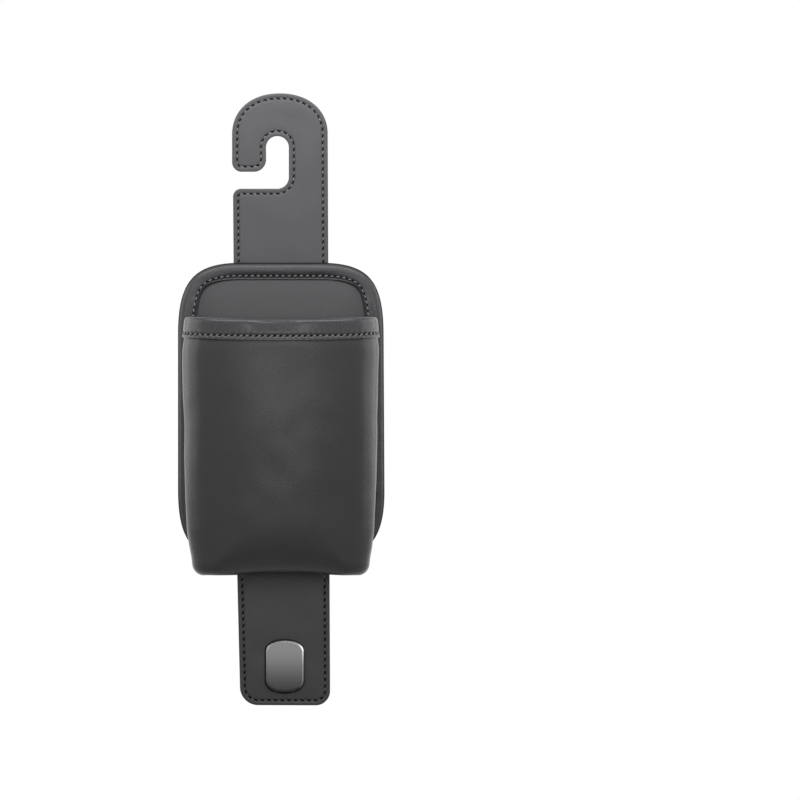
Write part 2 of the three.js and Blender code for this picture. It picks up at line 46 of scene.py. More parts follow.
# Studio. The organizer hangs in the middle of a white studio, square to a distant camera. A wide, low lamp
# lights the strap's hook from above, a large one stands in front, and one on each side draws the edges.
view_width = 520 * mm
view_distance = 20
view_centre = (77.6 * mm, 7.6 * mm)
view_plane = -10 * mm
floor_height = -0.30

camera = bpy.data.objects.new("camera", bpy.data.cameras.new("camera"))
scene.collection.objects.link(camera)
camera.location = (view_centre[0], view_plane - view_distance, view_centre[1])
camera.rotation_euler = (math.radians(90), 0, 0)
camera.data.lens = camera.data.sensor_width * view_distance / view_width
camera.data.clip_end = 50
scene.camera = camera
scene.view_settings.view_transform = "Standard"


class Value:
    """A shader output that takes part in plain arithmetic. Each operator adds one Math node."""

    def __init__(self, shader, socket):
        self.shader, self.socket = shader, socket

    def math(self, operation, *others):
        return self.shader.math(operation, self, *others)

    def __add__(self, other):
        return self.math("ADD", other)

    def __sub__(self, other):
        return self.math("SUBTRACT", other)

    def __rsub__(self, other):
        return self.shader.math("SUBTRACT", other, self)

    def __mul__(self, other):
        return self.math("MULTIPLY", other)

    def __truediv__(self, other):
        return self.math("DIVIDE", other)

    def __pow__(self, other):
        return self.math("POWER", other)

    def __neg__(self):
        return self.math("MULTIPLY", -1)

    __radd__, __rmul__ = __add__, __mul__


class Shader:
    """A material's nodes. Values pass between them as Value objects."""

    def __init__(self, owner):
        owner.use_nodes = True
        self.tree = owner.node_tree
        self.tree.nodes.clear()

    def add(self, kind, settings=(), inputs=()):
        node = self.tree.nodes.new("ShaderNode" + kind)
        for key, value in dict(settings).items():
            setattr(node, key, value)
        for key, value in dict(inputs).items():
            if isinstance(value, Value):
                self.tree.links.new(value.socket, node.inputs[key])
            else:
                node.inputs[key].default_value = value
        return {socket.name: Value(self, socket) for socket in reversed(node.outputs)}

    def math(self, operation, *values):
        return self.add("Math", {"operation": operation}, enumerate(values))["Value"]

    def remap(self, value, low, high, to_low=0.0, to_high=1.0):
        settings = {"interpolation_type": "SMOOTHSTEP"}
        inputs = {"Value": value, "From Min": low, "From Max": high, "To Min": to_low, "To Max": to_high}
        return self.add("MapRange", settings, inputs)["Result"]

    def blend(self, factor, first, second):
        result = self.add("Mix", {"data_type": "RGBA"}, {0: factor, 6: first, 7: second})["Result"]
        return Value(self, result.socket.node.outputs[2])

    def bump(self, height, distance, strength=1.0, normal=None):
        inputs = {"Height": height, "Distance": distance, "Strength": strength}
        if normal:
            inputs["Normal"] = normal
        return self.add("Bump", {}, inputs)["Normal"]


def seen_directly(shader):
    """1 for rays from the camera and for mirrored ones, 0 for the light that falls on the object."""
    rays = shader.add("LightPath")
    return (rays["Is Camera Ray"] + rays["Is Glossy Ray"] + rays["Is Transmission Ray"]).math("MINIMUM", 1)


world = bpy.data.worlds.new("studio")
scene.world = world
shader = Shader(world)
backdrop = shader.add("Background", {}, {"Color": (1, 1, 1, 1), "Strength": 1.0})["Background"]
fill = shader.add("Background", {}, {"Color": (1, 1, 1, 1), "Strength": 0.035})["Background"]
mixed = shader.add("MixShader", {}, {0: seen_directly(shader), 1: fill, 2: backdrop})["Shader"]
shader.add("OutputWorld", {}, {"Surface": mixed})


def lamp(name, place, target, size, power):
    data = bpy.data.lights.new(name, "AREA")
    data.shape, data.size, data.size_y, data.energy = "RECTANGLE", size[0], size[1], power
    made = bpy.data.objects.new(name, data)
    scene.collection.objects.link(made)
    made.location = place
    made.rotation_euler = (Vector(place) - Vector(target)).to_track_quat("Z", "Y").to_euler()
    made.visible_camera = False


lamp("key", (0, -0.23, 0.31), (0, 0, 0.145), (0.5, 0.14), 1.13)
lamp("front", (0, -1.6, 0.25), (0, 0, 0.1), (0.7, 0.6), 3.0)
lamp("left", (-0.62, 0.08, 0.18), (0, 0.06, 0.05), (0.8, 0.5), 2.1)
lamp("right", (0.62, 0.08, 0.18), (0, 0.06, 0.05), (0.8, 0.5), 2.2)


def select_only(*pieces):
    bpy.ops.object.select_all(action="DESELECT")
    for piece in pieces:
        piece.select_set(True)
    bpy.context.view_layer.objects.active = pieces[0]


bpy.ops.object.select_all(action="DESELECT")
bpy.ops.mesh.primitive_plane_add(size=2, location=(0, 0, floor_height))
floor = bpy.context.object
floor.name = "floor"
bpy.ops.object.transform_apply(location=True)
floor_paint = bpy.data.materials.new("white_floor")
shader = Shader(floor_paint)
matt = shader.add("BsdfDiffuse", {}, {"Color": (0.3, 0.3, 0.3, 1)})["BSDF"]
glow = shader.add("Emission", {}, {"Color": (1, 1, 1, 1), "Strength": 1.0})["Emission"]
place = shader.add("SeparateXYZ", {}, {"Vector": shader.add("TexCoord")["Object"]})
away = (place["X"] ** 2 + place["Y"] ** 2) ** 0.5
cover = seen_directly(shader) * shader.remap(away, 0.25, 0.9, 0.85, 1)
mixed = shader.add("MixShader", {}, {0: cover, 1: matt, 2: glow})["Shader"]
shader.add("OutputMaterial", {}, {"Surface": mixed})
floor.data.materials.append(floor_paint)

# Strap, front skin. Dark grey coated leather, cut to the strap's outline, sewn down all round and lifted by
# the board inside. Flat pieces are made lying on the bench, front up, with every table in millimetres, and
# then stood up.
leather_thickness = 1.25
strap_spacing = 0.75
seam_inset = 3.3
seam_pitch = 4.3
quarter_arc = 0.5523
strap_corners = [
    (32.2, -191.0, 9.5, 9.5, quarter_arc),
    (30.5, 207.0, 26.2, 31, 0.6),
    (-31.6, 207.0, 31, 26.6, 0.6),
    (-31.6, 156.0, 6.2, 6.2, quarter_arc),
    (-9.4, 156.0, 8.0, 8.0, quarter_arc),
    (-9.6, 179.2, 7.4, 7.4, quarter_arc),
    (5.3, 179.2, 7.4, 7.4, quarter_arc),
    (5.3, 145.0, 7.6, 7.6, quarter_arc),
    (-31.0, 145.0, 5.2, 5.2, quarter_arc),
    (-29.4, -60, 40, 40, quarter_arc),
    (-26.2, -190.8, 11.5, 11.5, quarter_arc),
]

# The window in the front skin lets the bag hook through.
window_corners = [
    (15.3, -183.3, 12.8, 8.2, 0.6), (15.2, -147.9, 8, 12.8, 0.6),
    (-10.4, -147.9, 12.8, 8, 0.6), (-10.4, -183.3, 8.2, 12.8, 0.6),
]
window_spacing, window_height = 0.75, 8


def bezier(p0, p1, p2, p3, count=16):
    t = np.linspace(0, 1, count)[:, None]
    p0, p1, p2, p3 = (np.array(p, float) for p in (p0, p1, p2, p3))
    return (1 - t) ** 3 * p0 + 3 * t * (1 - t) ** 2 * p1 + 3 * t**2 * (1 - t) * p2 + t**3 * p3


def evenly(points, count, closed=False):
    """The same line with its points spaced evenly. A closed line's last point isn't repeated."""
    points = np.vstack([points, points[:1]]) if closed else np.asarray(points)
    steps = np.linalg.norm(np.diff(points, axis=0), axis=1)
    run = np.concatenate([[0], np.cumsum(steps)])
    at = np.linspace(0, run[-1], count + 1 if closed else count)
    line = np.column_stack([np.interp(at, run, points[:, k]) for k in range(points.shape[1])])
    return line[:-1] if closed else line


def length_of(points, closed=False):
    points = np.vstack([points, points[:1]]) if closed else points
    return np.linalg.norm(np.diff(points, axis=0), axis=1).sum()


def rounded_outline(corners, spacing):
    """Even points round an outline. A corner is (x, y, reach back, reach on, fullness), in millimetres."""
    places = [np.array(corner[:2]) for corner in corners]
    line = []
    for k, (x, y, back, on, fullness) in enumerate(corners):
        corner = places[k]
        before, after = places[k - 1] - corner, places[(k + 1) % len(corners)] - corner
        start = corner + before / np.linalg.norm(before) * back
        end = corner + after / np.linalg.norm(after) * on
        pulls = start + (corner - start) * fullness, end + (corner - end) * fullness
        line.append(bezier(start, *pulls, end, 40))
    line = np.vstack(line) * mm
    return evenly(line, round(length_of(line, True) / (spacing * mm)), True)


def inset_line(outline, distance):
    """The outline moved inwards. The outline runs anticlockwise."""
    along = np.roll(outline, -1, 0) - np.roll(outline, 1, 0)
    along /= np.linalg.norm(along, axis=1)[:, None]
    return outline + distance * np.column_stack([-along[:, 1], along[:, 0]])


def vertices_of(piece):
    flat = np.empty(len(piece.data.vertices) * 3)
    piece.data.vertices.foreach_get("co", flat)
    return flat.reshape(-1, 3)


def move_vertices(piece, places):
    piece.data.vertices.foreach_set("co", np.asarray(places, float).ravel())
    piece.data.update()


def cut_blank(name, outline, low, high):
    """A flat blank with the given outline, lying on the bench between two heights in millimetres."""
    bpy.ops.object.select_all(action="DESELECT")
    bpy.ops.mesh.primitive_circle_add(vertices=len(outline), fill_type="NGON")
    blank = bpy.context.object
    blank.name = blank.data.name = name
    move_vertices(blank, np.column_stack([outline, np.full(len(outline), low * mm)]))
    bpy.ops.object.mode_set(mode="EDIT")
    bpy.ops.mesh.select_all(action="SELECT")
    bpy.ops.mesh.extrude_region_move(TRANSFORM_OT_translate={"value": (0, 0, (high - low) * mm)})
    bpy.ops.mesh.select_all(action="SELECT")
    bpy.ops.mesh.normals_make_consistent(inside=False)
    bpy.ops.object.mode_set(mode="OBJECT")
    return blank


def terrace(piece, side, steps):
    """Carries the top (side 1) or the underside (side -1) of a blank inwards in steps of (inset, rise)."""
    select_only(piece)
    bpy.ops.object.mode_set(mode="EDIT")
    bpy.ops.mesh.select_mode(type="FACE")
    bpy.ops.mesh.select_all(action="DESELECT")
    bpy.ops.object.mode_set(mode="OBJECT")
    faces = [face for face in piece.data.polygons if face.normal.z * side > 0.9]
    max(faces, key=lambda face: face.area).select = True
    bpy.ops.object.mode_set(mode="EDIT")
    for inset, rise in steps:
        bpy.ops.mesh.inset(thickness=inset * mm, depth=rise * mm, use_even_offset=True)
    bpy.ops.object.mode_set(mode="OBJECT")


def cross_cut(piece, spacing):
    """Cuts the piece into a net of small faces that can bend."""
    select_only(piece)
    low, high = vertices_of(piece).min(0), vertices_of(piece).max(0)
    bpy.ops.object.mode_set(mode="EDIT")
    for axis in (0, 1):
        for place in np.arange(low[axis] + spacing * mm, high[axis], spacing * mm):
            bpy.ops.mesh.select_all(action="SELECT")
            facing = [k == axis for k in range(3)]
            bpy.ops.mesh.bisect(plane_co=[place * on for on in facing], plane_no=facing)
    bpy.ops.object.mode_set(mode="OBJECT")


def ease(value, low, high):
    """A smooth step from 0 at the low value to 1 at the high one."""
    t = np.clip((value - low) / (high - low), 0, 1)
    return t * t * (3 - 2 * t)


def steps_between(profile):
    """Steps of (inset, rise) that follow a profile of (inset, height)."""
    return [(b[0] - a[0], b[1] - a[1]) for a, b in zip(profile, profile[1:])]


def smooth_profile(points, count):
    """A rounded line through a few points, as evenly spaced points."""
    points = np.array(points, float)
    padded = np.vstack([2 * points[0] - points[1], points, 2 * points[-1] - points[-2]])
    line = []
    for a, b, c, d in zip(padded, padded[1:], padded[2:], padded[3:]):
        line.append(bezier(b, b + (c - a) / 6, c - (d - b) / 6, c, 12))
    return evenly(np.vstack(line), count)


def seam_along(outline, inset, pitch):
    """A closed seam inside an outline: its line, with a whole number of stitches, and their number."""
    line = inset_line(outline, inset * mm)
    count = round(length_of(line, True) / (pitch * mm))
    return evenly(line, count * 12, True), count


def measure_seam(points, line):
    """For each point, how far along the seam it lies, from 0 to 1, and how far inside it, in metres."""
    tree = KDTree(len(line))
    for k, (x, y) in enumerate(line):
        tree.insert((x, y, 0), k)
    tree.balance()
    along = np.roll(line, -1, 0) - np.roll(line, 1, 0)
    along /= np.linalg.norm(along, axis=1)[:, None]
    result = []
    for x, y in points:
        place, k, _ = tree.find((x, y, 0))
        offset = np.array([x - place.x, y - place.y])
        share = (k + offset @ along[k] / np.linalg.norm(line[1] - line[0])) / len(line)
        result.append((share, offset @ np.array([-along[k][1], along[k][0]])))
    return np.array(result)


def mark_seam(piece, line, count):
    """A UV map that follows a closed seam: stitches along it, and millimetres inwards from it."""
    measured = measure_seam(vertices_of(piece)[:, :2], line)
    layer = piece.data.uv_layers.new(name="seam")
    for face in piece.data.polygons:
        shares = [measured[v][0] % 1 for v in face.vertices]
        wraps = max(shares) - min(shares) > 0.5 and len(shares) < 8
        for loop, vertex, share in zip(face.loop_indices, face.vertices, shares):
            layer.data[loop].uv = ((share + (wraps and share < 0.5)) * count, measured[vertex][1] / mm)


def pull_in(piece, line, count, side, depth, width):
    """Draws the surface down along a seam, deepest at the needle holes."""
    places = vertices_of(piece)
    measured = measure_seam(places[:, :2], line)
    phase = np.cos(2 * np.pi * measured[:, 0] * count)
    near = np.exp(-((measured[:, 1] / (width * mm)) ** 2))
    middle = (places[:, 2].min() + places[:, 2].max()) / 2
    facing = (places[:, 2] - middle) * side > 0
    places[:, 2] -= side * facing * near * depth * mm * (0.65 + 0.35 * phase)
    move_vertices(piece, places)


def stand(piece):
    """Stands a piece up from the bench: what was up faces the front."""
    piece.data.transform(Matrix.Rotation(math.radians(90), 4, "X"))
    piece.data.update()


def finish_piece(piece, material, angle=35):
    """Smooth shading, the material, and the body that carries the piece."""
    select_only(piece)
    bpy.ops.object.shade_smooth_by_angle(angle=math.radians(angle))
    piece.data.materials.clear()
    piece.data.materials.append(material)
    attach(piece, "root")


slant_along, slant_aside = 0.94, 0.34
hole_length, hole_width = 1.35, 0.62


def leather(name, pitch=0, painted_light_scale=1.0, margin=0.0, rim=0.0, gloss=0.0):
    """Coated leather: fine grain, pores and slow unevenness.

    A pitch gives it the needle holes and the groove of its seam map, both painted darker as painted shade.
    The margin is how much lighter the leather is outside the seam. The rim is how far out from the seam it
    turns into painted shade, in millimetres. The scale on its colour makes a whole piece lighter or darker,
    as painted light and shade.
    """
    material = bpy.data.materials.new(name)
    shader = Shader(material)
    place = shader.add("TexCoord")["Object"]
    inputs = {"Vector": place, "Scale": 1250, "Smoothness": 0.6}
    grain = shader.add("TexVoronoi", {"feature": "SMOOTH_F1"}, inputs)
    pores = shader.add("TexNoise", {}, {"Vector": place, "Scale": 2600, "Detail": 2})["Fac"]
    inputs = {"Vector": place, "Scale": 45, "Detail": 3, "Roughness": 0.6}
    patches = shader.add("TexNoise", {}, inputs)["Fac"]
    waves = shader.add("TexNoise", {}, {"Vector": place, "Scale": 22, "Detail": 1})["Fac"]
    specks = shader.add("TexNoise", {}, {"Vector": place, "Scale": 1100, "Detail": 2})["Fac"] - 0.5
    shade = 0.88 + 0.24 * patches + 0.15 * (pores - 0.5) + 0.1 * specks - 0.1 * (grain["Distance"] - 0.4)
    relief = grain["Distance"] * 0.7 + pores * 0.3
    normal = shader.bump(waves, 0.0012, 0.35)
    normal = shader.bump(relief, 0.00012, 0.55, normal)
    rough = 0.3 - gloss + 0.12 * (patches - 0.5) + 0.08 * (pores - 0.5)
    if pitch:
        stitches = shader.add("UVMap", {"uv_map": "seam"})["UV"]
        split = shader.add("SeparateXYZ", {}, {"Vector": stitches})
        beside = split["Y"].math("ABSOLUTE")
        phase = (split["X"] + 0.5).math("FRACT") - 0.5
        along = phase * (pitch * slant_along) - split["Y"] * slant_aside
        aside = phase * (pitch * slant_aside) + split["Y"] * slant_along
        from_hole = ((along / hole_length) ** 2 + (aside / hole_width) ** 2) ** 0.5
        hole = shader.remap(from_hole, 0.75, 1.1, 1, 0)
        groove = shader.remap(beside, 0.2, 1.1, 1, 0)
        pressed = shader.remap(split["Y"], -0.6, 0.2, 1, 0)
        # The groove along the seam is painted darker, painted shade.
        shade = shade * (1 + pressed * (margin + 1.2 * specks)) * (1 - 0.15 * groove)
        normal = shader.bump(hole + groove * 0.3, 0.0004, -0.6, normal)
        # The needle holes are painted near black, painted shade in the holes.
        dark = hole * 0.97
        # The rim paints the border's outer edge dark, painted shade where the roll turns away.
        if rim:
            dark = dark.math("MAXIMUM", shader.remap(split["Y"], 0.2 - rim, 1.4 - rim, 0.9, 0))
    # The scale on the base colour paints each piece lighter or darker, painted light and shade.
    colour = shader.blend(shade * painted_light_scale, (0, 0, 0, 1), (0.071, 0.071, 0.076, 1))
    inputs = {"Base Color": colour, "Roughness": rough, "Normal": normal, "Specular IOR Level": 0.33}
    surface = shader.add("BsdfPrincipled", {}, inputs)["BSDF"]
    if pitch:
        # A dark diffuse surface paints the shade in the holes and at the rim.
        painted_shade = shader.add("BsdfDiffuse", {}, {"Color": (0.012, 0.012, 0.013, 1)})["BSDF"]
        surface = shader.add("MixShader", {}, {0: dark, 1: surface, 2: painted_shade})["Shader"]
    shader.add("OutputMaterial", {}, {"Surface": surface})
    return material


strap_outline = rounded_outline(strap_corners, strap_spacing)
strap_seam, strap_stitches = seam_along(strap_outline, seam_inset, seam_pitch)
strap_front = cut_blank("strap_front", strap_outline, leather_thickness, 1.6)
edge = [(0, 1.6), (0, 2.6), (0.1, 2.85), (0.35, 3.0), (0.8, 3.06)]
margin = [(0.8, 3.06), (1.4, 3.06), (2.3, 3.03), (2.85, 2.94), (3.3, 2.88), (3.6, 3.06)]
shoulder = [(3.6, 3.06), (3.8, 3.21), (4.05, 3.32), (4.3, 3.36), (4.55, 3.38), (4.8, 3.4)]
crown_start, crown_end, crown_rise = 4.7, 10, 0.16
ripple_start, ripple_end = 6, 12
net_spacing = 3.2
terrace(strap_front, 1, steps_between(edge + margin[1:] + shoulder[1:]))
cross_cut(strap_front, net_spacing)
places = vertices_of(strap_front)
inside = measure_seam(places[:, :2], strap_outline)[:, 1] / mm
top = inside > crown_start
places[top, 2] += crown_rise * mm * ease(inside[top], crown_start, crown_end)
for k in np.flatnonzero(inside > ripple_start):
    x, y, _ = places[k]
    ripple = 0.2 * noise.noise(Vector((x, y, 0)) * 45) + 0.3 * noise.noise(Vector((12 * x, 50 * y, 3)))
    places[k, 2] += ripple * mm * ease(inside[k], ripple_start, ripple_end)
move_vertices(strap_front, places)
pull_in(strap_front, strap_seam, strap_stitches, side=1, depth=0.2, width=0.55)
mark_seam(strap_front, strap_seam, strap_stitches)
window = cut_blank("window", rounded_outline(window_corners, window_spacing), 0, window_height)
cut = strap_front.modifiers.new("window", "BOOLEAN")
cut.operation, cut.object, cut.solver = "DIFFERENCE", window, "EXACT"
select_only(strap_front)
bpy.ops.object.modifier_apply(modifier="window")
bpy.data.objects.remove(window)
stand(strap_front)
# The strap's leather is painted lighter than the rest, painted light.
strap_leather = leather("strap_leather", seam_pitch, painted_light_scale=1.1, margin=0.15)
finish_piece(strap_front, strap_leather)
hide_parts("strap_front_skin")

# Thread of the strap's seam. Bonded grey polyester, one stitch to each hole pitch, each one a little
# aslant. One stitch is shaped and copied round the seam.
thread_radius = 0.34
stitch_dip, stitch_slant, stitch_play = 0.32, 17, 5
strap_thread_height = 3.03


def make_stitch(length, radius=thread_radius):
    """One stitch along X, round in section, with its ends dipping into the needle holes."""
    bpy.ops.object.select_all(action="DESELECT")
    bpy.ops.mesh.primitive_uv_sphere_add(segments=8, ring_count=7, radius=1)
    made = bpy.context.object
    places = vertices_of(made)[:, [2, 1, 0]]
    places[:, 0] *= length / 2 * mm
    places[:, 1] *= radius * mm
    places[:, 2] *= -radius * 0.9 * mm
    places[:, 2] -= stitch_dip * mm * (places[:, 0] / (length / 2 * mm)) ** 2
    move_vertices(made, places)
    return made


def sew(name, stitch, frames):
    """Copies of a stitch, one to each frame of (place, along, out), as one piece."""
    rng = random.Random(7)
    made = bmesh.new()
    for place, along, out in frames:
        start = len(made.verts)
        made.from_mesh(stitch.data)
        made.verts.ensure_lookup_table()
        along, out = Vector(along).normalized(), Vector(out).normalized()
        aslant = math.radians(stitch_slant + rng.uniform(-stitch_play, stitch_play))
        along = Matrix.Rotation(aslant, 3, out) @ along
        side = out.cross(along)
        turn = Matrix((along * rng.uniform(0.95, 1.05), side, out)).transposed().to_4x4()
        bmesh.ops.transform(made, matrix=Matrix.Translation(place) @ turn, verts=made.verts[start:])
    mesh = bpy.data.meshes.new(name)
    made.to_mesh(mesh)
    made.free()
    piece = bpy.data.objects.new(name, mesh)
    scene.collection.objects.link(piece)
    bpy.data.objects.remove(stitch)
    return piece


def flat_frames(line, count, height, side=1):
    """A frame for each stitch of a closed seam that lies on the bench."""
    per_stitch = len(line) // count
    for k in range(count):
        middle = (k * per_stitch + per_stitch // 2) % len(line)
        ahead = line[(middle + 2) % len(line)] - line[middle - 2]
        yield (*line[middle], height * mm), (*ahead, 0), (0, 0, side)


def thread_material(name, colour):
    """Twisted thread: two plies that wind along each stitch."""
    material = bpy.data.materials.new(name)
    shader = Shader(material)
    split = shader.add("SeparateXYZ", {}, {"Vector": shader.add("UVMap", {"uv_map": "UVMap"})["UV"]})
    twist = ((split["X"] * 2 + split["Y"] * 3) * (2 * math.pi)).math("SINE")
    fuzz = shader.add("TexNoise", {}, {"Vector": shader.add("TexCoord")["Object"], "Scale": 6000})["Fac"]
    normal = shader.bump(twist * 0.8 + fuzz, 0.00008, 0.8)
    # The ply colour is painted darker where the twist sinks, painted shade between the plies.
    dark = tuple(c * 0.55 for c in colour[:3]) + (1,)
    mixed = shader.blend(0.5 + 0.35 * twist + 0.3 * (fuzz - 0.5), dark, colour)
    inputs = {"Base Color": mixed, "Roughness": 0.42, "Normal": normal, "Specular IOR Level": 0.5}
    surface = shader.add("BsdfPrincipled", {}, inputs)["BSDF"]
    shader.add("OutputMaterial", {}, {"Surface": surface})
    return material


grey_thread = thread_material("grey_thread", (0.3, 0.3, 0.305, 1))
strap_frames = flat_frames(strap_seam, strap_stitches, strap_thread_height)
strap_thread = sew("strap_thread", make_stitch(1.9, 0.36), strap_frames)
stand(strap_thread)
finish_piece(strap_thread, grey_thread)

# Strap, back skin. The same leather cut to the same outline. It lies flat against the seat and shows the
# other side of the strap's seam, with longer stitches.
back_thread_height = 0.02
strap_back = cut_blank("strap_back", strap_outline, 0.85, leather_thickness)
under = [(0, 0.4), (0, 0.85), (0.1, 1.1), (0.35, 1.22), (0.8, 1.25), (1.6, 1.25)]
under += [(2.3, 1.18), (2.8, 1.08), (3.3, 1.18), (4.0, 1.25), (4.7, 1.25)]
terrace(strap_back, -1, steps_between(under))
mark_seam(strap_back, strap_seam, strap_stitches)
stand(strap_back)
finish_piece(strap_back, strap_leather)
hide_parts("strap_back_skin")
back_frames = flat_frames(strap_seam, strap_stitches, back_thread_height, side=-1)
back_thread = sew("strap_back_thread", make_stitch(2.1), back_frames)
stand(back_thread)
finish_piece(back_thread, grey_thread)

# Panel border. A leather strip sewn to the panel's face by its inner lip, then rolled over foam round the
# edge to the back, so it is soft and round outside and drawn in along its seam.
panel_corners = [
    (67.8, -97, 45, 46, 0.74), (66.7, 96.9, 46, 42, 0.765),
    (-66.7, 96.8, 41, 46, 0.745), (-66.7, -97, 46, 42, 0.75),
]
border_pitch = 4.0
border_inset, lip_width = 7.9, 3.05
roll_middle, border_thickness = 10, 1.2
side_rise, side_rise_fade = 1, (68, 78)
corner_rise, corner_rise_start = 0.75, (26, 50)
border_thread_height = 14.3
panel_outline = rounded_outline(panel_corners, 1.0)
border_seam, border_stitches = seam_along(panel_outline, border_inset, border_pitch)
border = cut_blank("panel_border_roll", panel_outline, roll_middle, roll_middle + 0.4)
roll = smooth_profile([
    (0, 10.4), (0, 11.2), (0.3, 12.7), (1.1, 14.2), (2.4, 15.15), (4.0, 15.4), (5.4, 15.2), (6.6, 14.75),
    (7.4, 14.4), (7.9, 14.25), (8.5, 14.1), (9.1, 13.8), (9.6, 13.6), (10.05, 13.95), (10.5, 14.15),
    (10.85, 14.0), (10.95, 13.2),
], 40)
back_roll = smooth_profile([(0, 0), (0, 1.4), (0.4, 3), (1.3, 4.1), (2.6, 4.5), (4.5, 4.55), (8, 4.55)], 14)
terrace(border, 1, steps_between(roll))
terrace(border, -1, steps_between(back_roll))
# The two middle faces go, which leaves the strip open inside.
select_only(border)
bpy.ops.object.mode_set(mode="EDIT")
bpy.ops.mesh.select_all(action="DESELECT")
bpy.ops.object.mode_set(mode="OBJECT")
for face in sorted(border.data.polygons, key=lambda f: f.area)[-2:]:
    face.select = True
bpy.ops.object.mode_set(mode="EDIT")
bpy.ops.mesh.delete(type="ONLY_FACE")
bpy.ops.object.mode_set(mode="OBJECT")
pull_in(border, border_seam, border_stitches, side=1, depth=0.3, width=0.7)
mark_seam(border, border_seam, border_stitches)


def drawn_seam(points, outline):
    """The border as it's really sewn: its seam and lip run further in at the sides than at the corners."""
    ahead = np.roll(outline, -1, 0) - np.roll(outline, 1, 0)
    ahead /= np.linalg.norm(ahead, axis=1)[:, None]
    inwards = np.column_stack([-ahead[:, 1], ahead[:, 0]])
    measured = measure_seam(points, outline)
    at = np.rint(measured[:, 0] * len(outline)).astype(int) % len(outline)
    side, diagonal = inwards[at, 0] ** 2, 2 * np.abs(inwards[at, 0] * inwards[at, 1])
    seam_shift = 0.7 + side - 0.75 * diagonal
    lip_shift = -diagonal
    inside = measured[:, 1] / mm
    amount = np.clip(inside / border_inset, 0, 1) ** 1.5 * seam_shift
    amount += np.clip((inside - border_inset) / lip_width, 0, 1) * (lip_shift - seam_shift)
    return points + inwards[at] * amount[:, None] * mm


def border_rise(x, y):
    """How much higher the border stands beside the pocket and at its top corners, in millimetres."""
    beside = side_rise * (1 - ease(y / mm, *side_rise_fade))
    return beside + corner_rise * ease(np.abs(x) / mm, *corner_rise_start) * (y > 0)


places = vertices_of(border)
places[:, :2] = drawn_seam(places[:, :2], panel_outline)
border_seam = drawn_seam(border_seam, panel_outline)
move_vertices(border, places)
measured = measure_seam(places[:, :2], border_seam)
share = np.clip((measured[:, 1] / mm + 3) / 3, 0, 1) * (places[:, 2] > roll_middle * mm)
places[:, 2] += border_rise(places[:, 0], places[:, 1]) * share * mm
for k, (x, y, z) in enumerate(places):
    wobble = noise.noise(Vector((x, y, 0)) * 90) * 0.22 + noise.noise(Vector((x, y, 5)) * 300) * 0.05
    outside = np.clip(-measured[k, 1] / mm / 3, 0, 1)
    places[k, 2] += wobble * mm * outside * (1 if z > roll_middle * mm else -0.5)
move_vertices(border, places)
solid = border.modifiers.new("wall", "SOLIDIFY")
solid.thickness, solid.offset = border_thickness * mm, -1
select_only(border)
bpy.ops.object.modifier_apply(modifier="wall")
stand(border)
# The border's leather is painted a little darker, painted shade, and its outer edge is painted dark,
# painted shade where the roll turns away.
border_leather = leather("border_leather", border_pitch, painted_light_scale=0.91, rim=border_inset)
finish_piece(border, border_leather)
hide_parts("panel_border")
border_frames = []
for (x, y, z), ahead, out in flat_frames(border_seam, border_stitches, border_thread_height):
    border_frames.append(((x, y, z + border_rise(x, y) * mm), ahead, out))
border_thread = sew("border_thread", make_stitch(2.5, 0.4), border_frames)
stand(border_thread)
finish_piece(border_thread, grey_thread)

# Panel face. Leather over a foam pad, held down all round by the border's seam, so it is a little crowned
# and falls away under the border's lip.
face_inset = 9
face_outline = inset_line(panel_outline, face_inset * mm)
panel_face = cut_blank("panel_face_pad", evenly(face_outline, 400, True), low=9, high=12)
terrace(panel_face, 1, [
    (0.4, 0.65), (0.8, 0.15), (0.4, 0.2), (0.5, 0.25), (0.7, 0.15), (1, 0.1), (1.5, 0.12), (2, 0.14),
    (2, 0.14), (2, 0.1),
])
stand(panel_face)
# The face's leather is painted darker, painted shade.
plain_leather = leather("plain_leather", painted_light_scale=0.86)
finish_piece(panel_face, plain_leather)
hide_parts("panel_face", "panel_foam")

# Panel back. A thin lining glued over the border's turned-in edge. The strap runs down over its middle,
# between the panel and the seat.
lining_inset = 4
back_outline = inset_line(panel_outline, lining_inset * mm)
lining = cut_blank("panel_back_lining", evenly(back_outline, 500, True), low=5.2, high=5.6)
terrace(lining, -1, [(0.1, 0.3), (0.3, 0.15), (0.6, 0.04), (2, -0.1), (1, -0.1), (1, 0.1), (2, 0.1)])
stand(lining)
finish_piece(lining, plain_leather)
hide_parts("panel_back_cover")

# Pocket. One sheet of laminated leather drawn round a form: it leaves the panel under the border's lip,
# runs out round a full front and closes under the base, where it is drawn back up to the panel. Distances
# out are from the face, and heights from the panel's middle.
mouth_back, mouth_drop = 60, 1.4
base_height, base_arch = -106.4, 0.6
half_widths = [
    (-107, 56.2), (-98, 57.3), (-88, 59.4), (-77, 60.8), (-57, 61.8), (-31, 62.4), (-5, 62.7), (20, 63.5),
    (40, 63.9), (62, 62.6),
]
mouth_half, base_half, taper_curve = 62.6, 57.2, 2.5
mouth_reach, base_reach, widest_reach = 56, 51, 22
mouth_corner, base_corner, front_crown = 23, 15, 4.5
pocket_shift = 0.3
draw_in, draw_in_depth = 1.3, 20
edge_bend, middle_bend = (10.5, 8.5), (38, 20)
face_depth = 13
root_inset, root_depth, side_root, root_points = 12.45, 1.0, 134, 2000
columns, rows = 176, 132
wall_rows, edge_rows = 88, 24
turn_pace, edge_fullness = 0.8, 2.8
soft_from, soft_to, soft_rounds = 70, 100, 60
pocket_wall = 2.4


def reach_at(height):
    """How far the pocket's front stands out at a height."""
    share = np.clip((mouth_back - height) / (mouth_back - base_height), 0, 1) ** taper_curve
    return mouth_reach + (base_reach - mouth_reach) * share


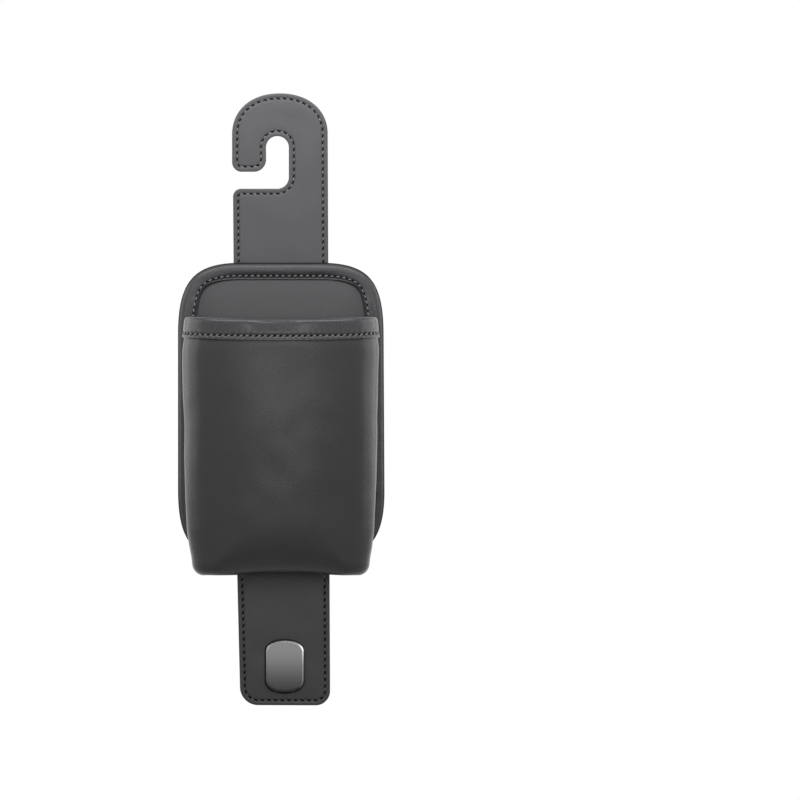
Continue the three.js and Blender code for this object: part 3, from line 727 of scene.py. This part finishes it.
def pocket_plan(height, grow, root_x, root_y, count):
    """The pocket seen from above at a height: even points from root to root, across and forward."""
    share = np.clip((mouth_back - height) / (mouth_back - base_height), 0, 1) ** taper_curve
    pinch = draw_in * ease(height, mouth_back - draw_in_depth, mouth_back)
    half = np.interp(height, *zip(*half_widths)) - pinch + grow
    reach = reach_at(height) - pinch + grow
    corner = mouth_corner + (base_corner - mouth_corner) * share + grow
    flare = half - root_x
    corner_y, front_x = reach - front_crown - corner, half - corner
    slope, pull = math.atan2(front_crown, front_x / 2), 0.6 * corner
    turn_x, turn_y = front_x + pull * math.cos(slope), reach - front_crown - pull * math.sin(slope)
    edge_y = reach - front_crown
    side = bezier(
        (root_x, root_y), (root_x + 0.3 * flare, 0.35 * widest_reach), (half, 0.55 * widest_reach),
        (half, widest_reach))
    bend = bezier((half, corner_y), (half, corner_y + pull), (turn_x, turn_y), (front_x, edge_y))
    front = bezier(
        (front_x, edge_y), (front_x * 2 / 3, reach - front_crown / 3), (front_x / 3, reach), (0, reach))
    right = np.vstack([side, bend, front])
    left = right[::-1] * (-1, 1)
    return evenly(np.vstack([right, left])[::-1], count)


def pocket_point_rows():
    """The pocket's outer face as rows of points, in millimetres: across, out from the face, and up."""
    line = inset_line(panel_outline, root_inset * mm) / mm
    line = line[line[:, 1] <= mouth_back]
    root = evenly(line[np.argsort(np.arctan2(line[:, 0], -line[:, 1]))], root_points)
    share_end = side_root / length_of(root)

    def root_at(share):
        return root[int(round(np.clip(share, 0, 1) * (root_points - 1)))]

    foot = np.array([root_at(share_end + (1 - 2 * share_end) * i / columns) for i in range(columns + 1)])
    grid = np.zeros((rows + 1, columns + 1, 3))
    slack = np.zeros((rows + 1, columns + 1, 1))
    for j in range(rows + 1):
        down = min(j / wall_rows, 1)
        turn = math.sin(math.pi / 2 * np.clip((j - wall_rows) / edge_rows, 0, 1)) ** turn_pace
        back = np.clip((j - wall_rows - edge_rows) / (rows - wall_rows - edge_rows), 0, 1)
        end = root_at(share_end * j / rows)
        height = mouth_back + (base_height + edge_bend[0] - mouth_back) * down
        plan = pocket_plan(height, 0, -end[0], root_depth, columns + 1)
        x, f = plan[:, 0], plan[:, 1]
        away = ease(f, root_depth, widest_reach)
        across = np.minimum(np.abs(x) / (base_half - base_corner), 1)
        bow = away * (1 - across**3)
        tall, deep = (a + (b - a) * bow for a, b in zip(edge_bend, middle_bend))
        mouth = mouth_back - mouth_drop * f / mouth_reach
        wall = mouth + (base_height + base_arch * bow + tall - mouth) * down
        f = f * reach_at(wall - tall * turn) / reach_at(height)
        along = np.gradient(plan, axis=0)
        along /= np.linalg.norm(along, axis=1)[:, None]
        inward = deep * (1 - math.sqrt(1 - turn**edge_fullness)) * away
        px = x + along[:, 1] * inward
        pf = f - along[:, 0] * inward
        pz = end[1] + (wall - tall * turn - end[1]) * away
        grid[j, :, 0] = px + (foot[:, 0] - px) * back + pocket_shift * away
        grid[j, :, 1] = pf + (root_depth - pf) * back
        grid[j, :, 2] = pz + (foot[:, 1] - pz) * back
        grid[j, 0] = (end[0], root_depth, end[1])
        grid[j, -1] = (-end[0], root_depth, end[1])
        share = ease(j, soft_from, soft_to) * (1 - ease(j, rows - 4, rows))
        slack[j, 1:-1, 0] = (1 - 0.9 * away[1:-1]) * share
    # The fold between the side and the base relaxes into a soft one.
    for _ in range(soft_rounds):
        around = np.roll(grid, 1, 0) + np.roll(grid, -1, 0) + np.roll(grid, 1, 1) + np.roll(grid, -1, 1)
        grid += (around / 4 - grid) * slack
    return grid


def drape(name, grid):
    """A grid sheet laid onto a form given as rows of points: across, forward from the face, and up."""
    bpy.ops.object.select_all(action="DESELECT")
    count_y, count_x = grid.shape[:2]
    bpy.ops.mesh.primitive_grid_add(x_subdivisions=count_x - 1, y_subdivisions=count_y - 1, size=2)
    sheet = bpy.context.object
    sheet.name = sheet.data.name = name
    flat = vertices_of(sheet)
    i = np.rint((flat[:, 0] + 1) / 2 * (count_x - 1)).astype(int)
    j = np.rint((1 - flat[:, 1]) / 2 * (count_y - 1)).astype(int)
    spots = grid[j, i]
    move_vertices(sheet, np.column_stack([spots[:, 0], -face_depth - spots[:, 1], spots[:, 2]]) * mm)
    return sheet


pocket = drape("pocket", pocket_point_rows())
places = vertices_of(pocket)
normals = np.array([v.normal for v in pocket.data.vertices])
for k, place in enumerate(places):
    spot = Vector(place)
    dent = noise.noise(spot * 22) * 0.7 + noise.noise(spot * 60 + Vector((3, 1, 2))) * 0.22
    places[k] += normals[k] * dent * mm * ease(-place[1] / mm, 15, 30)
move_vertices(pocket, places)
solid = pocket.modifiers.new("wall", "SOLIDIFY")
solid.thickness, solid.offset, solid.use_rim = pocket_wall * mm, -1, True
select_only(pocket)
bpy.ops.object.modifier_apply(modifier="wall")
# The pocket's leather is painted much darker, painted shade.
pocket_leather = leather("pocket_leather", painted_light_scale=0.6, gloss=0.02)
finish_piece(pocket, pocket_leather)
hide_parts("pocket_shell")

# Hem. A leather strip folded over the pocket's mouth with a stiff strip inside, sewn through near its lower
# edge. Its profile is (out from the pocket's face, down from the mouth).
hem_pitch = 4.0
hem_stitch_drop, hem_deepening, hem_end_rise = 8.3, 0.14, 0.9
hem_start, hem_root = 2.65, 54.5
hem_rows, hem_columns = 60, 460
hem_bulge, bulge_centre, bulge_half = 1.7, -3, 17
hem_thickness, hem_thread_lift = 1.2, 0.22
hem_profile = [
    (-5.35, 9.8), (-5.35, 5), (-5.35, 1.6), (-5.0, 0.1), (-4.2, -0.9), (-2.9, -1.5), (-1.3, -1.55),
    (0.0, -1.15), (0.85, -0.35), (1.25, 0.8), (1.4, 2.2), (1.4, 4.5), (1.3, 6.6), (1.0, 7.7), (0.9, 8.3),
    (1.1, 8.7), (1.25, 9.2), (1.3, 9.9), (1.28, 10.5), (1.15, 10.9), (0.85, 11.1), (0.3, 11.05),
]
hem_line = smooth_profile(hem_profile, hem_rows)


def hem_point_rows():
    """The hem's outer face as rows of points, in millimetres: across, out from the face, and up."""
    grid = []
    for grow, drop in hem_line:
        fine = pocket_plan(mouth_back - drop, grow, hem_root + grow, 0, 900)
        plan = evenly(fine[fine[:, 1] >= hem_start], hem_columns)
        deep = drop * (1 + hem_deepening * (1 - (plan[:, 0] / mouth_half) ** 2))
        up = mouth_back - mouth_drop * plan[:, 1] / mouth_reach - deep
        up += hem_end_rise * ease(np.abs(plan[:, 0]), 25, 55) * (1 - ease(drop, 2, 7))
        grid.append(np.column_stack([plan + (pocket_shift, 0), up]))
    return np.array(grid)


hem_grid = hem_point_rows()
hem_row = int(np.argmin([abs(drop - hem_stitch_drop) + 9 * (grow < 0) for grow, drop in hem_line]))
seam_line = hem_grid[hem_row]
hem_stitches = round(length_of(seam_line) / hem_pitch)
run = np.concatenate([[0], np.cumsum(np.linalg.norm(np.diff(seam_line, axis=0), axis=1))])
phase = run / run[-1] * hem_stitches
outward = np.cross(np.gradient(hem_grid, axis=1), np.gradient(hem_grid, axis=0))
outward /= np.linalg.norm(outward, axis=2)[..., None] + 1e-12
if outward[hem_row, hem_columns // 2, 1] < 0:
    outward = -outward
for j, (grow, drop) in enumerate(hem_line):
    if grow < 0:
        continue
    near = math.exp(-(((drop - hem_stitch_drop) / 0.8) ** 2))
    wide = math.exp(-(((drop - hem_stitch_drop) / 2.4) ** 2))
    pinch = near * (0.22 + 0.14 * np.cos(2 * np.pi * phase)) + wide * 0.1 * np.cos(2 * np.pi * phase)
    hem_grid[j] -= outward[j] * pinch[:, None]
above = np.clip((hem_grid[..., 2] - mouth_back + hem_stitch_drop) / 8.5, 0, 1)
bulge = np.exp(-(((hem_grid[..., 0] - bulge_centre) / bulge_half) ** 4)) * (hem_grid[..., 1] > 30)
hem_grid[..., 1] -= hem_bulge * above * bulge
hem = drape("pocket_hem_band", hem_grid)
layer = hem.data.uv_layers.new(name="seam")
base_uv = hem.data.uv_layers[0]
drops = hem_line[:, 1] - hem_stitch_drop + 40 * (hem_line[:, 0] < 0)
for loop in hem.data.loops:
    u, v = base_uv.data[loop.index].uv
    i, j = round(u * (hem_columns - 1)), round((1 - v) * (hem_rows - 1))
    layer.data[loop.index].uv = (phase[i], drops[j])
solid = hem.modifiers.new("wall", "SOLIDIFY")
solid.thickness, solid.offset, solid.use_rim = hem_thickness * mm, -1, True
select_only(hem)
bpy.ops.object.modifier_apply(modifier="wall")
# The hem's leather is painted darker, painted shade.
hem_leather = leather("hem_leather", hem_pitch, painted_light_scale=0.85, gloss=0.1)
finish_piece(hem, hem_leather)
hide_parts("pocket_hem")
hem_frames = []
for k in range(hem_stitches):
    i = int(np.argmin(np.abs(phase - (k + 0.5))))
    out = outward[hem_row, i]
    x, f, z = hem_grid[hem_row, i] + out * hem_thread_lift
    ahead = hem_grid[hem_row, min(i + 1, hem_columns - 1)] - hem_grid[hem_row, max(i - 1, 0)]
    place = (x * mm, (-face_depth - f) * mm, z * mm)
    hem_frames.append((place, ahead * (1, -1, 1), out * (1, -1, 1)))
hem_thread = sew("hem_thread", make_stitch(2.4, 0.37), hem_frames)
finish_piece(hem_thread, grey_thread)

# Bag hook. One cast and bent piece of metal with a satin dark nickel finish, painted lighter at the top and
# darker at the bottom as painted reflection and shade. Its foot lies on the strap's board, held by two
# rivets, and turns up at the bottom into a bulging barrel-shaped plate whose bevelled edges carry painted
# highlights.
hook_place = (2.75, -165.3)
hook_half_width, hook_half_height = 12.2, 16.75
hook_cap, hook_fullness, hook_bulge = 7.4, 0.6, 0.8
plate_cuts, plate_cut_spacing = 9, 3.4
arm_width, arm_thickness, arm_bend = 9.4, 1.45, 4.25
rim_front, rim_steepest, rim_flattest = -12, -0.35, -0.97
barrel_corners = [
    (hook_half_width, -hook_half_height, hook_half_width, hook_cap, hook_fullness),
    (hook_half_width, hook_half_height, hook_cap, hook_half_width, hook_fullness),
    (-hook_half_width, hook_half_height, hook_half_width, hook_cap, hook_fullness),
    (-hook_half_width, -hook_half_height, hook_cap, hook_half_width, hook_fullness),
]
barrel = rounded_outline(barrel_corners, 0.5)
bag_hook = cut_blank("bag_hook_plate", barrel, low=12, high=12.4)
terrace(bag_hook, 1, steps_between([
    (0, 12.35), (0.1, 12.55), (0.3, 12.78), (0.6, 13.02), (0.85, 13.15), (1.05, 13.21), (1.3, 13.25),
    (1.7, 13.25),
]))
terrace(bag_hook, -1, [(0.3, 0.25), (0.3, 0.1)])
select_only(bag_hook)
bpy.ops.object.mode_set(mode="EDIT")
bpy.ops.mesh.select_all(action="SELECT")
for k in range(plate_cuts):
    bpy.ops.mesh.bisect(plane_co=(0, (k - plate_cuts // 2) * plate_cut_spacing * mm, 0), plane_no=(0, 1, 0))
    bpy.ops.mesh.select_all(action="SELECT")
bpy.ops.object.mode_set(mode="OBJECT")
places = vertices_of(bag_hook)
places[:, 2] += hook_bulge * mm * (1 - (places[:, 1] / (hook_half_height * mm)) ** 2)
move_vertices(bag_hook, places)
arm_path = [(4.0, 13.5), (4.0, 9), (4.0, 4), (4.0, -1), (4.0, -6), (4.0, -10)]
arm_path += [
    (4.0 + arm_bend - arm_bend * math.cos(angle), -11.75 - arm_bend * math.sin(angle))
    for angle in np.linspace(0, math.pi, 13)]
arm_path += [(12.5, -9), (12.7, -5)]
bpy.ops.object.select_all(action="DESELECT")
bpy.ops.mesh.primitive_grid_add(x_subdivisions=6, y_subdivisions=len(arm_path) - 1, size=2)
arm = bpy.context.object
flat = vertices_of(arm)
j = np.rint((flat[:, 1] + 1) / 2 * (len(arm_path) - 1)).astype(int)
path = np.array(arm_path)[j]
taper = 1 - 0.35 * np.clip((-path[:, 1] - 9) / 7, 0, 1)
move_vertices(arm, np.column_stack([flat[:, 0] * arm_width * taper, path[:, 1], path[:, 0]]) * mm)
solid = arm.modifiers.new("wall", "SOLIDIFY")
solid.thickness, solid.offset = arm_thickness * mm, 0
select_only(arm)
bpy.ops.object.modifier_apply(modifier="wall")
select_only(bag_hook, arm)
bpy.ops.object.join()
bag_hook.data.transform(Matrix.Translation((hook_place[0] * mm, hook_place[1] * mm, 0)))
stand(bag_hook)


def satin_metal(name, low, high, edge_highlight=0.0):
    """Satin plating with a fine vertical brush. Its colour is painted lighter at the top and darker at the
    bottom, as painted reflection and shade. An edge highlight adds painted highlights towards the top and
    the right side.
    """
    material = bpy.data.materials.new(name)
    shader = Shader(material)
    place = shader.add("TexCoord")["Object"]
    split = shader.add("SeparateXYZ", {}, {"Vector": place})
    stretched = shader.add("Mapping", {}, {"Vector": place, "Scale": (2500, 2500, 40)})["Vector"]
    brushed = shader.add("TexNoise", {}, {"Vector": stretched, "Scale": 1, "Detail": 4})["Fac"]
    height = (split["Z"] - (hook_place[1] - hook_half_height) * mm) / (2 * hook_half_height * mm)
    # Painted reflection and shade: the colour runs from darker at the bottom to lighter at the top.
    level = low + (high - low) * shader.remap(height, -0.06, 0.78) + 0.02 * (brushed - 0.5)
    if edge_highlight:
        # Painted highlights on the bevel: lighter towards the top and the right side, and at the right
        # edge.
        across = (split["X"] - hook_place[0] * mm) / (hook_half_width * mm)
        spread = 1.5 - across.math("ABSOLUTE") + 0.5 * across
        level = level + edge_highlight * shader.remap(height, 0.5, 0.95) * spread
        level = level + 0.1 * shader.remap(across, 0.7, 0.95)
    colour = shader.blend(level, (0, 0, 0, 1), (1, 1, 1.01, 1))
    inputs = {"Base Color": colour, "Metallic": 1.0, "Roughness": 0.34 + 0.12 * brushed,
              "Normal": shader.bump(brushed, 0.00002, 0.4)}
    surface = shader.add("BsdfPrincipled", {}, inputs)["BSDF"]
    shader.add("OutputMaterial", {}, {"Surface": surface})
    return material


nickel = satin_metal("satin_nickel_painted_shade", 0.05, 0.155)
# The bevel's material, with painted highlights.
rim_highlight = satin_metal("rim_painted_highlight", 0.03, 0.2, 0.5)
finish_piece(bag_hook, nickel)
bag_hook.data.materials.append(rim_highlight)
for face in bag_hook.data.polygons:
    on_rim = face.center.y < rim_front * mm and rim_flattest < face.normal.y < rim_steepest
    face.material_index = int(on_rim)
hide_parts("bag_hook")
for node in ("hook_rivet_upper", "hook_rivet_lower"):
    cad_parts[node].data.materials.clear()
    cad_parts[node].data.materials.append(nickel)

# Boards inside. Stiff black sheet, die cut: one in the strap, one in the panel and a strip in the hem. They
# show only where a skin leaves a gap.
black_board = bpy.data.materials.new("black_board")
shader = Shader(black_board)
place = shader.add("TexCoord")["Object"]
speck = shader.add("TexNoise", {}, {"Vector": place, "Scale": 900, "Detail": 2})["Fac"]
colour = shader.blend(speck * 0.3 + 0.1, (0, 0, 0, 1), (0.08, 0.08, 0.08, 1))
inputs = {"Base Color": colour, "Roughness": 0.7, "Specular IOR Level": 0.2}
shader.add("OutputMaterial", {}, {"Surface": shader.add("BsdfPrincipled", {}, inputs)["BSDF"]})
for node in ("strap_core", "panel_board", "mouth_stiffener"):
    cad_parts[node].data.materials.clear()
    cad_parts[node].data.materials.append(black_board)
